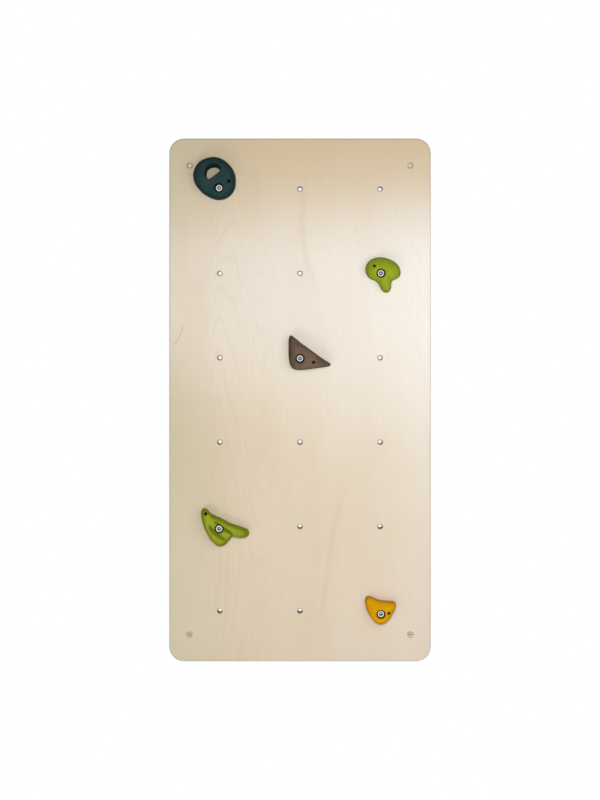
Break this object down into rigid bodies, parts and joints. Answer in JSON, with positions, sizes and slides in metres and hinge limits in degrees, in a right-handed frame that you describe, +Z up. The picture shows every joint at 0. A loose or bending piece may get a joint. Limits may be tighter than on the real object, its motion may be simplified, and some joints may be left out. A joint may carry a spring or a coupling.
{
  "type": "climbing wall panel",
  "caption": "Upright birch plywood climbing panel for children, with a grid of tee nuts and bolt-on resin holds that can be moved to other places on the grid.",
  "frame": {"origin": "middle of the panel's back face, which lies on the wall", "axes": "+Z up the panel, +Y into the wall, +X to the right of someone who faces the holds"},
  "size_m": [0.62, 0.062, 1.24],
  "materials": {
    "birch": "clear matt lacquered birch multiplex",
    "zinc_steel": "bright zinc plated",
    "black_steel": "black oxide",
    "ring_resin": "matte moulded resin, blue-black",
    "mushroom_resin": "matte moulded resin, olive green",
    "fin_resin": "matte moulded resin, brown",
    "leaf_resin": "matte moulded resin, lime green",
    "wedge_resin": "matte moulded resin, amber yellow"
  },
  "bodies": {
    "wall_panel": {"panel": "birch", "tee_nut_a1": "zinc_steel", "tee_nut_a2": "zinc_steel", "tee_nut_a3": "zinc_steel", "tee_nut_a4": "zinc_steel", "tee_nut_a5": "zinc_steel", "tee_nut_a6": "zinc_steel", "tee_nut_b1": "zinc_steel", "tee_nut_b2": "zinc_steel", "tee_nut_b3": "zinc_steel", "tee_nut_b4": "zinc_steel", "tee_nut_b5": "zinc_steel", "tee_nut_b6": "zinc_steel", "tee_nut_c1": "zinc_steel", "tee_nut_c2": "zinc_steel", "tee_nut_c3": "zinc_steel", "tee_nut_c4": "zinc_steel", "tee_nut_c5": "zinc_steel", "tee_nut_c6": "zinc_steel"},
    "ring_hold": {"ring_hold": "ring_resin"},
    "ring_washer": {"ring_washer": "black_steel"},
    "ring_bolt": {"ring_bolt": "zinc_steel"},
    "mushroom_hold": {"mushroom_hold": "mushroom_resin"},
    "mushroom_washer": {"mushroom_washer": "black_steel"},
    "mushroom_bolt": {"mushroom_bolt": "zinc_steel"},
    "fin_hold": {"fin_hold": "fin_resin"},
    "fin_washer": {"fin_washer": "black_steel"},
    "fin_bolt": {"fin_bolt": "zinc_steel"},
    "leaf_hold": {"leaf_hold": "leaf_resin"},
    "leaf_washer": {"leaf_washer": "black_steel"},
    "leaf_bolt": {"leaf_bolt": "zinc_steel"},
    "wedge_hold": {"wedge_hold": "wedge_resin"},
    "wedge_washer": {"wedge_washer": "black_steel"},
    "wedge_bolt": {"wedge_bolt": "zinc_steel"}
  },
  "joints": [
    {"name": "ring_hold_turn", "type": "hinge", "parent": "wall_panel", "child": "ring_hold", "pos_m": [-0.19, -0.018, 0.5], "axis": [0, -1, 0], "continuous": true},
    {"name": "ring_washer_travel", "type": "slide", "parent": "wall_panel", "child": "ring_washer", "axis": [0, -1, 0], "range_m": [0, 0.0105]},
    {"name": "ring_bolt_unscrew", "type": "hinge", "parent": "ring_washer", "child": "ring_bolt", "pos_m": [-0.19, -0.036, 0.5], "axis": [0, -1, 0], "range_deg": [0, 2520]},
    {"name": "mushroom_hold_turn", "type": "hinge", "parent": "wall_panel", "child": "mushroom_hold", "pos_m": [0.19, -0.018, 0.3], "axis": [0, -1, 0], "continuous": true},
    {"name": "mushroom_washer_travel", "type": "slide", "parent": "wall_panel", "child": "mushroom_washer", "axis": [0, -1, 0], "range_m": [0, 0.0105]},
    {"name": "mushroom_bolt_unscrew", "type": "hinge", "parent": "mushroom_washer", "child": "mushroom_bolt", "pos_m": [0.19, -0.036, 0.3], "axis": [0, -1, 0], "range_deg": [0, 2520]},
    {"name": "fin_hold_turn", "type": "hinge", "parent": "wall_panel", "child": "fin_hold", "pos_m": [0, -0.018, 0.1], "axis": [0, -1, 0], "continuous": true},
    {"name": "fin_washer_travel", "type": "slide", "parent": "wall_panel", "child": "fin_washer", "axis": [0, -1, 0], "range_m": [0, 0.0105]},
    {"name": "fin_bolt_unscrew", "type": "hinge", "parent": "fin_washer", "child": "fin_bolt", "pos_m": [0, -0.036, 0.1], "axis": [0, -1, 0], "range_deg": [0, 2520]},
    {"name": "leaf_hold_turn", "type": "hinge", "parent": "wall_panel", "child": "leaf_hold", "pos_m": [-0.19, -0.018, -0.3], "axis": [0, -1, 0], "continuous": true},
    {"name": "leaf_washer_travel", "type": "slide", "parent": "wall_panel", "child": "leaf_washer", "axis": [0, -1, 0], "range_m": [0, 0.0105]},
    {"name": "leaf_bolt_unscrew", "type": "hinge", "parent": "leaf_washer", "child": "leaf_bolt", "pos_m": [-0.19, -0.036, -0.3], "axis": [0, -1, 0], "range_deg": [0, 2520]},
    {"name": "wedge_hold_turn", "type": "hinge", "parent": "wall_panel", "child": "wedge_hold", "pos_m": [0.19, -0.018, -0.5], "axis": [0, -1, 0], "continuous": true},
    {"name": "wedge_washer_travel", "type": "slide", "parent": "wall_panel", "child": "wedge_washer", "axis": [0, -1, 0], "range_m": [0, 0.0105]},
    {"name": "wedge_bolt_unscrew", "type": "hinge", "parent": "wedge_washer", "child": "wedge_bolt", "pos_m": [0.19, -0.036, -0.5], "axis": [0, -1, 0], "range_deg": [0, 2520]}
  ],
  "couplings": [
    {"joint": "ring_bolt_unscrew", "follows": "ring_washer_travel", "rad_per_m": 4188.8},
    {"joint": "mushroom_bolt_unscrew", "follows": "mushroom_washer_travel", "rad_per_m": 4188.8},
    {"joint": "fin_bolt_unscrew", "follows": "fin_washer_travel", "rad_per_m": 4188.8},
    {"joint": "leaf_bolt_unscrew", "follows": "leaf_washer_travel", "rad_per_m": 4188.8},
    {"joint": "wedge_bolt_unscrew", "follows": "wedge_washer_travel", "rad_per_m": 4188.8}
  ]
}
